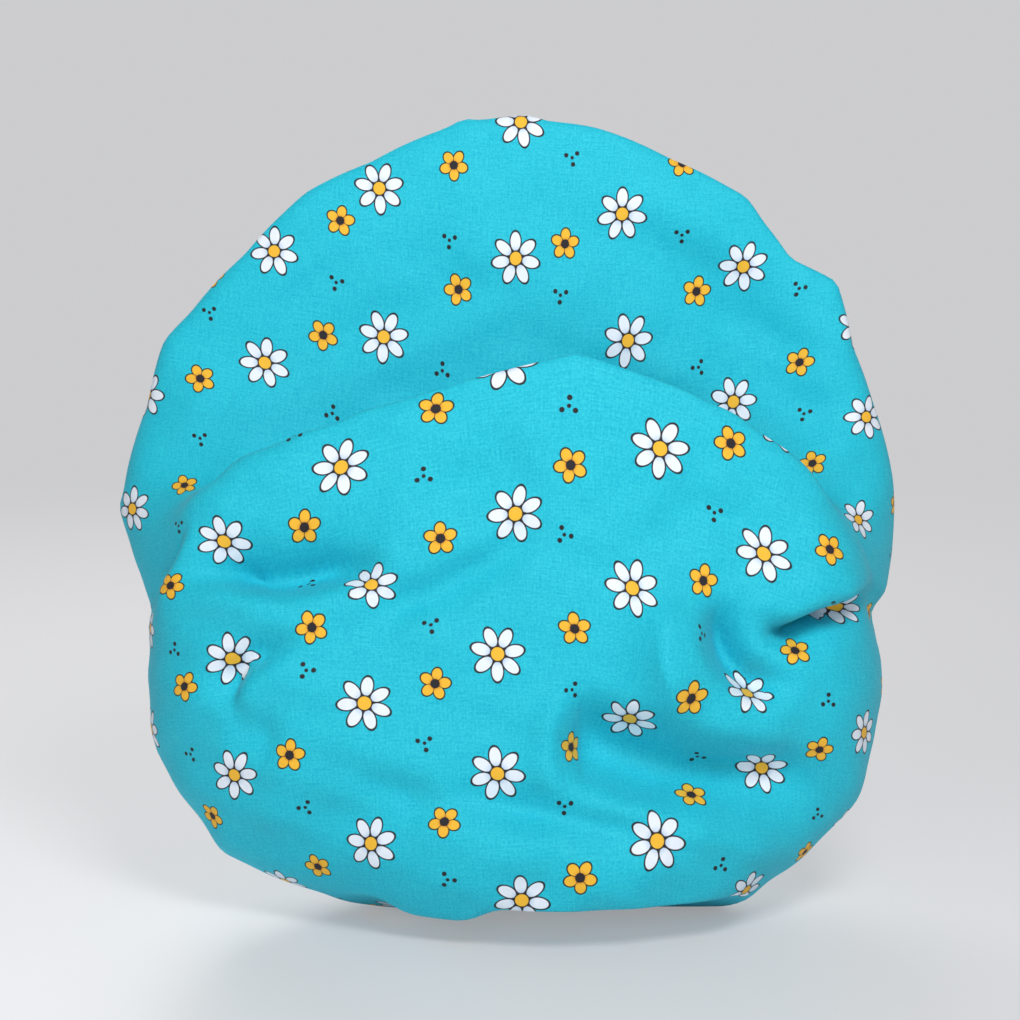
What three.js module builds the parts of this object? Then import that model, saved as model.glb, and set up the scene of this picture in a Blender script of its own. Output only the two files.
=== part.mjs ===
// Fabric shower cap, standing on its edge on a table with the crown drooping forwards.
// Millimetres, +Z up. The crown faces -Y and the elasticated opening faces +Y.
// The origin lies on the table, under the middle of the cap.
import * as THREE from "three";

// Outline of the cap seen from the crown side
const topHeight = 311; // top edge above the table
const backHalfWidth = 151; // half width of the raised back panel
const widestHeight = 160; // height of the widest place above the table
const pouchHalfWidth = 145; // half width of the front pouch that droops over the lower half
const pouchSagLeft = 2.4; // power of the pouch's rounded lower corners; 2 is a plain ellipse
const pouchSagRight = 3;
const baseSink = 12; // how far the slack fabric would hang past the table that flattens it
const notchTurn = THREE.MathUtils.degToRad(10); // how far below level the pouch ends at each side
const notchDepth = 6; // nick in the outline where the pouch ends
const notchSharpness = 90; // power that narrows that nick

// The fold across the front: a ridge with a crease hidden behind it
const ridgeOffset = 26; // crown point at the ridge's middle, to the right of the centre
const ridgeHeight = 222; // crown point above the table
const ridgeForward = 52; // crown point in front of the back panel's edge
const ridgeEndForward = 45; // ends of the ridge in front of that edge
const ridgeReachRight = 90; // crown point to the place where the crease runs out
const ridgeReachLeft = 135;
const ridgeFallRight = 48; // drop of the ridge over that reach
const ridgeFallLeft = 47;
const ridgeRunAlong = 30; // how far the fabric runs on along the ridge before it turns down
const ridgeRunAcross = 12; // the same across the ridge, forwards and back
const ridgeEasing = 0.6; // share of the ridge's fall that this run takes up
const creaseDrop = 34; // bottom of the crease below the ridge
const creaseForward = 20; // bottom of the crease in front of the back panel's edge
const creaseTurn = 10; // half the width of the crease's round bottom
const creaseRunOut = 1.7; // power by which the crease and the belly fade towards the ridge's ends
const pouchSwell = 32; // furthest front of the pouch, ahead of the ridge
const pouchBelly = 122; // height of that furthest front below the ridge
const pouchCurve = 48; // handle of the pouch's curve, above and below its belly
const pouchEdgeForward = 28; // side and base of the pouch, in front of the back panel's edge
const pouchUnderturn = 40; // how far the pouch's base runs level before it turns up
const panelRoll = 10; // roundness of the back panel's edge

// Valleys pressed into the slack pouch: ends as [across, up] seen from the crown side, depth and half width
const pouchFolds = [
  { from: [-131, 139], to: [-47, 134], depth: 8, spread: 12 },
  { from: [-48, 115], to: [20, 154], depth: 4, spread: 11 },
  { from: [-81, 107], to: [-106, 76], depth: 6, spread: 12 },
  { from: [140, 127], to: [98, 113], depth: 10, spread: 13 },
  { from: [98, 111], to: [113, 88], depth: 6, spread: 14 },
  { from: [20, 76], to: [90, 50], depth: 11, spread: 16 },
  { from: [90, 50], to: [129, 49], depth: 8, spread: 14 },
  { from: [-42, 53], to: [44, 34], depth: 5, spread: 12 },
];

// The gathered rear and the opening
const openingRadius = 70; // clear radius inside the gathered edge, elastic relaxed
const openingHeight = 152; // centre of the opening above the table
const openingBack = 46; // plane of the opening behind the back panel's edge
const rearShoulder = 40; // how far the fabric runs straight back from the outline
const rearApproach = 34; // how far the fabric lies flat before it enters the edge binding
const gathers = 12; // main gathers round the opening
const gatherHeight = 6; // crest of a gather above the smooth rear
const scallopHeight = 2.5; // how far a gather pushes the outline out

// Cloth plies, elastic, binding and thread
const shellThickness = 0.45; // printed cotton
const liningThickness = 0.35; // waterproof lining
const plyGap = 0.3; // clearance between two plies that lie on each other
const elasticWidth = 6.5;
const elasticThickness = 1;
const elasticLap = 14; // length of the lapped and stitched join
const bindingThickness = 0.5;
const bindingGrip = 8; // length of the binding's legs over the two plies
const edgeClearance = 0.6; // from the plies' cut edge to the elastic
const threadSize = 0.45;
const stitchInset = 2; // stitch row inside the binding's cut edges
const joinStitches = 6; // zigzags over the elastic's lap
const joinInset = 1.2; // zigzag's turns inside the elastic's edges
const joinMargin = 2; // zigzag's ends inside the lap's ends

// The blank label that hangs inside from the binding
const labelWidth = 20;
const labelLength = 22;
const labelThickness = 0.3;
const labelCorner = 2;
const labelLean = THREE.MathUtils.degToRad(20);

// Facets
const columns = 4 * gathers; // crest, flank, trough and flank of each gather
const wallRings = 3;
const panelRings = 5;
const rearRings = 4;
const bindingFacets = 48;

const { lerp, smoothstep } = THREE.MathUtils;
const vec = (x, y, z) => new THREE.Vector3(x, y, z);

const material = {
  cotton: new THREE.MeshStandardMaterial({ color: 0x2cbcd8, roughness: 0.85, side: THREE.DoubleSide }),
  lining: new THREE.MeshStandardMaterial({ color: 0xf1f4f3, roughness: 0.4 }),
  binding: new THREE.MeshStandardMaterial({ color: 0x2ab4d0, roughness: 0.8 }),
  elastic: new THREE.MeshStandardMaterial({ color: 0xf4f2ec, roughness: 0.75 }),
  thread: new THREE.MeshStandardMaterial({ color: 0x24a8c6, roughness: 0.6 }),
  label: new THREE.MeshStandardMaterial({ color: 0xfafafa, roughness: 0.5 }),
};

// Radii of the ring-shaped edge, from the opening outwards
const elasticInner = openingRadius + bindingThickness + plyGap;
const elasticOuter = elasticInner + elasticWidth;
const plyEdge = elasticOuter + edgeClearance;
const bindingMouth = plyEdge + bindingGrip;

// Depths through the two plies where the binding grips them
const liningFace = shellThickness + plyGap;
const stackDepth = liningFace + liningThickness;
const bindingPlane = openingBack - stackDepth / 2;
const lapStep = elasticThickness + plyGap;

// A solid through sections of equal point counts, capped at both ends
function loft(sections) {
  const size = sections[0].length;
  const faces = [];
  for (let i = 0; i < sections.length - 1; i++) {
    const a = i * size;
    const b = a + size;
    for (let j = 0; j < size; j++) {
      const k = (j + 1) % size;
      faces.push(a + j, b + j, b + k, a + j, b + k, a + k);
    }
  }
  const last = (sections.length - 1) * size;
  for (let j = 1; j < size - 1; j++) {
    faces.push(0, j, j + 1, last, last + j + 1, last + j);
  }
  return new THREE.BufferGeometry().setFromPoints(sections.flat()).setIndex(faces);
}

// A point of the outline, where the fabric turns from the front to the rear
function outlinePoint(phi) {
  const turn = phi - notchTurn * Math.cos(phi);
  const across = Math.cos(turn);
  const rise = Math.sin(turn);
  const low = smoothstep(-rise, 0, 0.5);
  const sag = across < 0 ? pouchSagLeft : pouchSagRight;
  const power = rise < 0 ? 2 / sag : 1;
  const halfWidth = lerp(backHalfWidth, pouchHalfWidth, low);
  const tall = rise < 0 ? widestHeight + baseSink : topHeight - widestHeight;
  const nick = notchDepth * Math.abs(Math.cos(phi)) ** notchSharpness;
  const grow = scallopHeight * Math.cos(gathers * phi) - nick;
  const x = Math.sign(across) * halfWidth * Math.abs(across) ** power;
  const z = widestHeight + Math.sign(rise) * tall * Math.abs(rise) ** power;
  const forward = pouchEdgeForward * smoothstep(-Math.sin(phi), -0.25, 0.6);
  return vec(x + grow * across, -forward, z + grow * rise);
}

// A point of the ring round the crown: the crease above, the pouch's belly below
function foldPoint(phi) {
  const side = Math.cos(phi);
  const up = Math.max(0, Math.sin(phi));
  const down = Math.max(0, -Math.sin(phi));
  const reach = side > 0 ? ridgeReachRight : ridgeReachLeft;
  const fall = (side > 0 ? ridgeFallRight : ridgeFallLeft) * side * side;
  const forward = lerp(ridgeForward, ridgeEndForward, Math.abs(side));
  return vec(
    ridgeOffset + reach * side,
    -forward + (ridgeForward - creaseForward) * up - pouchSwell * down,
    ridgeHeight - fall - creaseDrop * up ** creaseRunOut - pouchBelly * down ** creaseRunOut,
  );
}

// Slope of the ridge towards the side that a direction points to
const ridgeSlope = (side) => (side > 0 ? ridgeFallRight / ridgeReachRight : ridgeFallLeft / ridgeReachLeft);

// The way the fabric runs on at that ring, away from the crown
function foldHandle(phi) {
  const side = Math.cos(phi);
  const up = Math.max(0, Math.sin(phi));
  const down = Math.max(0, -Math.sin(phi));
  return vec(
    (side * pouchCurve) / 2,
    creaseTurn * up,
    -Math.abs(side) * ridgeSlope(side) * pouchCurve - pouchCurve * down,
  );
}

// A point in the flat plane of the opening
function openingPoint(phi, radius) {
  const turn = phi - notchTurn * Math.cos(phi);
  return vec(radius * Math.cos(turn), openingBack, openingHeight + radius * Math.sin(turn));
}

// The three curves from the crown to the binding along one direction of the cut cloth
function meridian(phi) {
  const crown = vec(ridgeOffset, -ridgeForward, ridgeHeight);
  const fold = foldPoint(phi);
  const handle = foldHandle(phi);
  const edge = outlinePoint(phi);
  const mouth = openingPoint(phi, bindingMouth);
  const side = Math.cos(phi);
  const dip = ridgeEasing * Math.abs(side) * ridgeSlope(side) * ridgeRunAlong;
  const roll = vec(side * ridgeRunAlong, Math.sin(phi) * ridgeRunAcross, -dip);
  const low = smoothstep(-Math.sin(phi), -0.2, 0.5);
  const turnBack = vec(0, lerp(panelRoll, pouchUnderturn, low), 0);
  const approach = openingPoint(phi, bindingMouth + rearApproach);
  const curve = (a, b, c, d) => new THREE.CubicBezierCurve3(a, b, c, d);
  return {
    wall: curve(crown, crown.clone().add(roll), fold.clone().sub(handle), fold),
    panel: curve(fold, fold.clone().add(handle), edge.clone().sub(turnBack), edge),
    rear: curve(edge, edge.clone().add(vec(0, rearShoulder, 0)), approach, mouth),
  };
}

// How far the pouch's valleys press a point of it back
const foldLines = pouchFolds.map(({ from, to, depth, spread }) => {
  const line = new THREE.Line3(vec(from[0], 0, from[1]), vec(to[0], 0, to[1]));
  return { line, depth, spread };
});
function valleyDepth(point, phi) {
  const onPouch = smoothstep(-Math.sin(phi), -0.05, 0.2);
  const flat = vec(point.x, 0, point.z);
  const pressed = foldLines.map(({ line, depth, spread }) => {
    const distance = line.closestPointToPoint(flat, true, vec()).distanceTo(flat);
    return depth * Math.exp(-((distance / spread) ** 2));
  });
  return onPouch * Math.max(...pressed);
}

// The cap's outer face: rings of points from the crown to the plies' cut edge
function faceRings() {
  const rings = [];
  const directions = Array.from({ length: columns }, (_, i) => (2 * Math.PI * i) / columns);
  const meridians = directions.map(meridian);
  const addRings = (name, count, shift) => {
    for (let j = 1; j <= count; j++) {
      const t = j / count;
      rings.push(
        meridians.map((m, i) => {
          const point = m[name].getPoint(t);
          return point.setY(point.y + shift(point, directions[i], t));
        }),
      );
    }
  };
  const gather = (point, phi, t) => gatherHeight * Math.sin(Math.PI * t) * Math.cos(gathers * phi);
  const fadingValley = (point, phi, t) => valleyDepth(point, phi) * (1 - t ** 2);
  addRings("wall", wallRings, valleyDepth);
  addRings("panel", panelRings, fadingValley);
  addRings("rear", rearRings, gather);
  rings.push(directions.map((phi) => openingPoint(phi, plyEdge)));
  rings.flat().forEach((p) => p.setZ(Math.max(0, p.z)));
  return rings;
}

// The outer face, shared by both plies; point 0 is the crown
const outerRings = faceRings();
const outerPoints = [vec(ridgeOffset, -ridgeForward, ridgeHeight), ...outerRings.flat()];

// Triangles of the disc of rings round the crown, each four-sided patch cut along its shorter diagonal
function discFaces(facingOut) {
  const faces = [];
  const at = (ring, i) => 1 + ring * columns + (i % columns);
  const add = (a, b, c) => faces.push(...(facingOut ? [a, b, c] : [a, c, b]));
  const span = (a, b) => outerPoints[a].distanceTo(outerPoints[b]);
  for (let i = 0; i < columns; i++) {
    add(0, at(0, i), at(0, i + 1));
    for (let j = 0; j < outerRings.length - 1; j++) {
      const [a, b, c, d] = [at(j, i), at(j + 1, i), at(j + 1, i + 1), at(j, i + 1)];
      if (span(a, c) <= span(b, d)) {
        add(a, b, c);
        add(a, c, d);
      } else {
        add(a, b, d);
        add(b, c, d);
      }
    }
  }
  return faces;
}

// The outer face's normals, along which the plies are laid
const outerNormals = (() => {
  const face = new THREE.BufferGeometry().setFromPoints(outerPoints).setIndex(discFaces(true));
  face.computeVertexNormals();
  const { normal } = face.attributes;
  // The plies lie flat in the opening's plane between the binding's legs
  const flatFrom = outerPoints.length - 2 * columns;
  const flat = vec(0, 1, 0);
  return outerPoints.map((_, i) => (i < flatFrom ? vec().fromBufferAttribute(normal, i) : flat));
})();

// One ply: the outer face moved inwards by two depths and closed at its cut edge
function ply(outerDepth, innerDepth) {
  const moved = (depth) => outerPoints.map((p, i) => p.clone().addScaledVector(outerNormals[i], -depth));
  const count = outerPoints.length;
  const faces = discFaces(true);
  faces.push(...discFaces(false).map((i) => i + count));
  const edge = count - columns;
  for (let i = 0; i < columns; i++) {
    const a = edge + i;
    const b = edge + ((i + 1) % columns);
    faces.push(a, a + count, b + count, a, b + count, b);
  }
  return new THREE.BufferGeometry()
    .setFromPoints([...moved(outerDepth), ...moved(innerDepth)])
    .setIndex(faces);
}

// A ring of the edge, turned about the opening's axis; points are [radius, depth from the binding's plane]
function edgeRing(points) {
  const profile = [...points, points[0]].map(([r, y]) => new THREE.Vector2(r, y));
  return new THREE.LatheGeometry(profile, bindingFacets);
}

// The binding's folded section: legs over the plies, and a channel round the elastic at the fold
const mouthHalf = stackDepth / 2 + plyGap;
const channelFront = lapStep / 2 + elasticThickness / 2 + plyGap;
const channelBack = channelFront + threadSize + plyGap;
const bindingBackFace = mouthHalf + bindingThickness;
function bindingSection() {
  const wall = bindingThickness;
  const foldInner = openingRadius + wall;
  return [
    [bindingMouth, bindingBackFace],
    [plyEdge, channelBack + wall],
    [foldInner, channelBack + wall],
    [openingRadius, channelBack],
    [openingRadius, -channelFront],
    [foldInner, -channelFront - wall],
    [plyEdge, -channelFront - wall],
    [bindingMouth, -bindingBackFace],
    [bindingMouth, -mouthHalf],
    [plyEdge, -channelFront],
    [foldInner, -channelFront],
    [foldInner, channelBack],
    [plyEdge, channelBack],
    [bindingMouth, mouthHalf],
  ];
}

// Height of the binding's outer face above its plane, at a radius on its legs
function legHeight(radius, channel) {
  const share = (radius - plyEdge) / bindingGrip;
  return lerp(channel, mouthHalf, share) + bindingThickness;
}

// A row of stitches along one leg, as the thread that lies on it
function threadRing(channel, side) {
  const radius = bindingMouth - stitchInset;
  const half = threadSize / 2;
  const middle = legHeight(radius - half, channel) + plyGap + half;
  const section = [
    [radius - half, middle],
    [radius, middle - half],
    [radius + half, middle],
    [radius, middle + half],
  ];
  return edgeRing(side > 0 ? section : section.map(([r, y]) => [r, -y]).reverse());
}

const elasticPoint = (turn, radius, y) =>
  vec(radius * Math.cos(turn), bindingPlane + y, openingHeight + radius * Math.sin(turn));

// The elastic: a flat strip once round, with its end lapped behind its start
const lapTurn = elasticLap / elasticInner;
const lapStart = -Math.PI / 2;
function elasticStrip() {
  const turns = Array.from({ length: bindingFacets + 1 }, (_, i) => (2 * Math.PI * i) / bindingFacets);
  turns.push(2 * Math.PI + lapTurn / 2, 2 * Math.PI + lapTurn);
  const half = elasticThickness / 2;
  const sections = turns.map((turn) => {
    const level = (turn / (2 * Math.PI) - 0.5) * lapStep;
    return [
      [elasticInner, level + half],
      [elasticOuter, level + half],
      [elasticOuter, level - half],
      [elasticInner, level - half],
    ].map(([r, y]) => elasticPoint(lapStart + turn, r, y));
  });
  return loft(sections);
}

// The zigzag that holds the lap, lying on its outer layer
function joinStitching() {
  const half = threadSize / 2;
  const level = (0.5 + lapTurn / (2 * Math.PI)) * lapStep + elasticThickness / 2 + plyGap / 2 + half;
  const swing = elasticWidth - 2 * joinInset;
  const advance = (elasticLap - 2 * joinMargin) / joinStitches;
  const slant = (half * Math.hypot(swing, advance)) / advance;
  const sections = Array.from({ length: joinStitches + 1 }, (_, i) => {
    const turn = lapStart + (joinMargin + i * advance) / elasticInner;
    const radius = i % 2 ? elasticInner + joinInset : elasticOuter - joinInset;
    return [
      [radius - slant, level + half],
      [radius + slant, level + half],
      [radius + slant, level - half],
      [radius - slant, level - half],
    ].map(([r, y]) => elasticPoint(turn, r, y));
  });
  return loft(sections);
}

// The label: a ribbon tab with rounded lower corners, hanging from its top edge
function labelTab() {
  const half = labelWidth / 2;
  const shape = new THREE.Shape()
    .moveTo(-half, 0)
    .lineTo(-half, labelCorner - labelLength)
    .quadraticCurveTo(-half, -labelLength, labelCorner - half, -labelLength)
    .lineTo(half - labelCorner, -labelLength)
    .quadraticCurveTo(half, -labelLength, half, labelCorner - labelLength)
    .lineTo(half, 0);
  const tab = new THREE.ExtrudeGeometry(shape, { depth: labelThickness, bevelEnabled: false, curveSegments: 3 });
  return tab.translate(0, 0, -labelThickness / 2).rotateX(Math.PI / 2 - labelLean);
}

function piece(name, geometry, finish) {
  const mesh = new THREE.Mesh(geometry, finish);
  mesh.name = name;
  return mesh;
}

const cap = new THREE.Group();
cap.add(piece("outer_shell", ply(0, shellThickness), material.cotton));
cap.add(piece("waterproof_lining", ply(liningFace, stackDepth), material.lining));
cap.add(piece("elastic_band", elasticStrip(), material.elastic));
cap.add(piece("elastic_join_stitches", joinStitching(), material.thread));

const edge = new THREE.Group();
edge.position.set(0, bindingPlane, openingHeight);
edge.add(piece("edge_binding", edgeRing(bindingSection()), material.binding));
edge.add(piece("binding_needle_thread", threadRing(channelBack, 1), material.thread));
edge.add(piece("binding_bobbin_thread", threadRing(channelFront, -1), material.thread));
cap.add(edge);

const label = piece("care_label", labelTab(), material.label);
label.position.set(0, bindingPlane - mouthHalf - bindingThickness / 2, openingHeight - bindingMouth - plyGap);
cap.add(label);

// Stand the cap with its box centred over the origin
const box = new THREE.Box3().setFromObject(cap);
const middle = box.getCenter(new THREE.Vector3());
cap.position.set(-middle.x, -middle.y, 0);

export default cap;
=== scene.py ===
# Shower cap: printed cotton over a waterproof lining, its rim gathered by elastic in a bound edge
import math

import bpy
import numpy as np
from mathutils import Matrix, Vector


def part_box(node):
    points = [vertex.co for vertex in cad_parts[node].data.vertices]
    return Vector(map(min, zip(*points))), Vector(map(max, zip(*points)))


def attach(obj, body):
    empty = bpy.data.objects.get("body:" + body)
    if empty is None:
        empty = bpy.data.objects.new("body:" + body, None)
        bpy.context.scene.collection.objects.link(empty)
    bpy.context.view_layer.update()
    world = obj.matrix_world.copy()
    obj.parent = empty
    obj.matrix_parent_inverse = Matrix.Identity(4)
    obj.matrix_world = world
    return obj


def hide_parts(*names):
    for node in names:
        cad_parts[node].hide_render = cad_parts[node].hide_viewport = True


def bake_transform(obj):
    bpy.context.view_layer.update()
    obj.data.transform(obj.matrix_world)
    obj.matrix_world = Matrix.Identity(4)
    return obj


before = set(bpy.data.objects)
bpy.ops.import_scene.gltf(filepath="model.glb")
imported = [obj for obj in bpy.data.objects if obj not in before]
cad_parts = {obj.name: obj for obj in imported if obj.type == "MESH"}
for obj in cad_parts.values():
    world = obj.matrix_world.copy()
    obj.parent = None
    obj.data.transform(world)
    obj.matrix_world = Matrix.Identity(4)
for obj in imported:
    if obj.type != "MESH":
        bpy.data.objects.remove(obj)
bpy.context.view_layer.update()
mm = 0.001
fullTurn = 2 * math.pi
print("frame loaded:", len(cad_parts), "nodes")

photoView = {
    "elevation": 8.5,  # degrees above level
    "distance": 1.15,  # metres from the target
    "target": (0.0008, 0.0, 0.158),
    "across": 0.3968,  # metres across the picture at the target
    "sensor": 36.0,
}
tilt = math.radians(photoView["elevation"])
viewTarget = np.array(photoView["target"])
viewBack = np.array([0.0, -math.cos(tilt), math.sin(tilt)])
viewUp = np.array([0.0, math.sin(tilt), math.cos(tilt)])
viewEye = viewTarget + viewBack * photoView["distance"]


def makeCamera():
    data = bpy.data.cameras.new("photoCamera")
    data.sensor_width = photoView["sensor"]
    data.lens = photoView["sensor"] * photoView["distance"] / photoView["across"]
    camera = bpy.data.objects.new("photoCamera", data)
    camera.location = viewEye
    camera.rotation_euler = Vector(-viewBack).to_track_quat("-Z", "Y").to_euler()
    bpy.context.scene.collection.objects.link(camera)
    bpy.context.scene.camera = camera


def seenAt(points):
    # where points appear on the picture's plane through the cap, in metres across and up
    ray = points - viewEye
    reach = photoView["distance"] / -(ray @ viewBack)
    return viewTarget[0] + ray[..., 0] * reach, viewTarget[2] + (ray @ viewUp) * reach


def placeSeen(across, up, depth):
    # the point at a depth (y) that appears at that place of the picture's plane
    across, up, depth = np.broadcast_arrays(across, up, depth)
    ray = -viewBack * photoView["distance"] + (up - viewTarget[2])[..., None] * viewUp
    ray = ray + (across - viewTarget[0])[..., None] * np.array([1.0, 0.0, 0.0])
    return viewEye + ray * ((depth - viewEye[1]) / ray[..., 1])[..., None]


makeCamera()
print("camera placed")

# The gathered edge's sizes, from the frame
bindingLow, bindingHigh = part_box("edge_binding")
elasticLow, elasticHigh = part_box("elastic_band")
edgeRing = {
    "plane": (elasticLow.y + elasticHigh.y) / 2,
    "height": (bindingLow.z + bindingHigh.z) / 2,
    "grip": (bindingHigh.x - bindingLow.x) / 2,  # radius of the binding's cut edges
    "elastic": (elasticHigh.x - elasticLow.x) / 2,
    "plyInset": 0.6 * mm,  # plies' cut edge outside the elastic
}

capShape = {
    "columns": 312,
    "wallRings": 52,
    "panelRings": 76,
    "rearRings": 26,
    "gripRings": 2,
    "wallSpread": 1.15,  # power that draws the rings together at the crown
    "smoothCrown": (8, 36),  # rings over which the unevenness sets in
    "outlineCentre": 160 * mm,
    "outlineSoftness": 0.012,  # radians over which its corners are rounded
    "outlineSamples": 1440,
    "notchTurn": math.radians(16.5),
    "openingBack": 45.45 * mm,  # edge ring's plane behind the back panel's edge
    "ridgeTop": (27 * mm, 219 * mm),  # as seen in the picture
    "ridgeRight": (119 * mm, 171 * mm),
    "ridgeLeft": (-112 * mm, 172 * mm),
    "ridgeForward": 52 * mm,
    "ridgeEndForward": 44 * mm,
    "rollSide": 30 * mm,
    "rollDepth": 10 * mm,
    "rollSlope": 0.6,  # share of the ridge's slope that the roll takes
    "creaseDrop": 34 * mm,
    "creaseBack": 32 * mm,
    "creaseTurn": 10 * mm,
    "dropRunOut": 1.7,  # power by which the crease and the belly fade towards the ridge's ends
    "pouchSwell": 36 * mm,
    "pouchBelly": 166 * mm,  # below the ridge
    "pouchCurve": 48 * mm,
    "pouchFlare": 0.38,  # how far forward the belly still runs where it is lowest
    "edgeForward": 28 * mm,
    "underturn": 29 * mm,
    "panelRoll": 10 * mm,
    "rearShoulder": 40 * mm,
    "rearApproach": 34 * mm,
    "baseSoftness": 1.5 * mm,
    "baseLift": 17 * mm,  # how far the underside rises towards the front
    "baseRise": 52 * mm,  # over what depth
    "baseSag": 0.4,  # share of that rise that is missing where the base sags
    # spans of the turn, as its height above or below the middle, over which a form sets in
    "edgeForwardSpan": (-0.25, 0.6),
    "underturnSpan": (-0.2, 0.5),
    "pouchSpan": (-0.12, 0.06),
    "panelFoldSpan": (0.1, 0.5),  # share of the way from the crease to the edge
    "edgeFade": 4,  # power by which folds fade at the edge
    "ruffleFrom": 0.55,  # share of the way from the edge to the rim
}

# Outline seen from the crown side, in millimetres across and up, anticlockwise from the right notch
capOutline = [
    (140.8, 118.3), (146.7, 126.8), (149, 139.7), (150.2, 154.8), (149.8, 169.6), (142, 199.6),
    (134.2, 221.3), (129.5, 242), (128, 247), (120.2, 250.9), (110.1, 255.6), (99.2, 270.4),
    (93, 279.7), (85.2, 284), (63.4, 294.5), (47.1, 302.3), (33.8, 306.9), (15.2, 309.3),
    (8.2, 311.6), (-10.9, 309.6), (-17.1, 310.4), (-24.1, 306.5), (-53.3, 293.3), (-78.6, 281.6),
    (-86.7, 274.2), (-102.3, 257.5), (-123.3, 235), (-133.8, 224), (-140, 199.6), (-149.4, 165.3),
    (-151.3, 159.5), (-147, 145.9), (-142.8, 133), (-138.5, 120.2), (-138.5, 101.9), (-138.5, 74.3),
    (-136.5, 64.6), (-118.3, 37), (-110.1, 25.7), (-101.1, 21), (-72.4, 10.9), (-52, 4),
    (-36, -9), (30, -11), (70, -9), (89.5, 7), (99.6, 15), (130.7, 39.7), (135.4, 45.5),
    (140, 62.2), (144, 82.5), (144.7, 98), (142.8, 110.5),
]

# Places where the front of the base sags: middle and half width, in millimetres across
baseSags = [(-27, 19)]

# Folds seen from the crown side: valley lines in millimetres across and up. To the left of the drawn
# direction the cloth falls to the valley over the wall's width, to the right it rises again to a roll.
# A negative depth is a ridge, a sharp fold is steepest at its line, and a lean tips the roll over the valley
pouchFolds = [
    {"line": [(-136, 133), (-113, 132.6), (-98, 130), (-87, 129), (-78, 130.7), (-57, 134.6), (-43, 134)],
     "depth": 24, "wall": 36, "rise": 9, "roll": 3, "sharp": True, "lean": 2},
    {"line": [(-58, 115), (-43, 120), (-23, 129), (-3, 139), (20, 154)],
     "depth": 8, "wall": 10, "rise": 9, "roll": 1},
    {"line": [(-113, 80), (-108, 90), (-103, 97), (-95, 101), (-78, 110)],
     "depth": 12, "wall": 18, "rise": 7, "roll": 3, "sharp": True, "lean": 2},
    {"line": [(-112, 74), (-100, 72), (-88, 69)], "depth": 4, "wall": 14, "rise": 14, "roll": 0},
    {"line": [(148, 127), (133, 121.5), (121, 118), (112, 114), (92, 110)],
     "depth": 22, "wall": 30, "rise": 9, "roll": 6, "sharp": True, "lean": 6},
    {"line": [(88, 128), (82, 114), (84, 103), (90.5, 94.5), (100.5, 89.5), (118, 90)],
     "depth": 21, "wall": 22, "rise": 12, "roll": 2, "sharp": True},
    {"line": [(16, 80), (24, 75), (36, 68.5), (54.5, 63), (71, 59), (92, 54), (117, 52), (134, 54)],
     "depth": 24, "wall": 17, "rise": 28, "roll": 2},
    {"line": [(76, 68), (64, 84), (58.5, 96), (57.5, 104), (61, 116), (70, 130)],
     "depth": -16, "wall": 34, "rise": 46, "roll": 0, "sharp": True},
    {"line": [(17, 46), (16, 62), (18, 76), (26, 88)],
     "depth": -9, "wall": 22, "rise": 20, "roll": 0, "sharp": True},
    {"line": [(-34, 49), (-11, 46), (12, 41.6), (40, 34.6), (64, 29)],
     "depth": 8, "wall": 11, "rise": 15, "roll": 1},
    {"line": [(-94, 47), (-66, 40), (-46, 44), (-22, 54)],
     "depth": 5, "wall": 22, "rise": 24, "roll": 0},
    {"line": [(-36, 153), (-8, 172), (10, 182)], "depth": 4, "wall": 22, "rise": 24, "roll": 0},
    {"line": [(48, 160), (84, 158), (116, 144)], "depth": 4, "wall": 22, "rise": 24, "roll": 0},
]
panelFolds = [
    {"line": [(36, 301), (70, 274), (104, 250), (126, 238)],
     "depth": -4, "wall": 15, "rise": 17, "roll": 0},
    {"line": [(26, 275), (62, 250), (92, 226), (108, 210)],
     "depth": 3, "wall": 24, "rise": 30, "roll": 0},
    {"line": [(88, 284), (98, 240), (104, 205), (104, 172)],
     "depth": 10, "wall": 40, "rise": 50, "roll": 0},
    {"line": [(-132, 212), (-96, 224), (-60, 232), (-14, 236)],
     "depth": 2.5, "wall": 32, "rise": 28, "roll": 0},
    {"line": [(-20, 300), (-12, 268), (-10, 240)], "depth": -2, "wall": 16, "rise": 16, "roll": 0},
]
lobeFolds = [
    {"line": [(-142, 112), (-136.5, 128), (-132.5, 138), (-124, 156)],
     "depth": 5, "wall": 14, "rise": 5, "roll": 3, "sharp": True, "lean": 1.5},
]
foldDrawing = {
    "points": 33,
    "rounding": 3,  # rounds
    "fade": 0.3,  # share of the line at each end
    "rollWidth": 1.5,  # times the rise
    "leanWidth": 0.75,
    "smoothing": 1,  # rounds
}

# Gathers of the rear: how many round, crest in millimetres, where they are strongest, over what share
rearGathers = [(12, 6, 0.42, 0.30), (23, 4.4, 0.62, 0.24), (37, 2.4, 0.80, 0.17), (58, 1.2, 0.93, 0.10)]
gatherStray = [(5, 0.05, 1), (9, 0.03, 2.3)]  # how many round, radians, start
gatherFillet = 0.02  # rounds the bottoms of the gathers
gatherEnds = (0.25, 0.92)  # shares of the way to the rim where they are full and start to close
rimRuffles = [(31, 0.42, 0.6), (47, 0.36, 2.1), (61, 0.30, 4.0)]  # how many, share, start
ruffleCrest = 1.1 * mm
clothFlatten = {"columnStep": 2, "ringStep": 2, "rounds": 30}
clothUneven = {"waves": 20, "height": 0.9 * mm, "shortest": 17 * mm, "longest": 60 * mm, "seed": 11}


def smoothstep(x, low, high):
    t = np.clip((x - low) / (high - low), 0, 1)
    return t * t * (3 - 2 * t)


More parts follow.
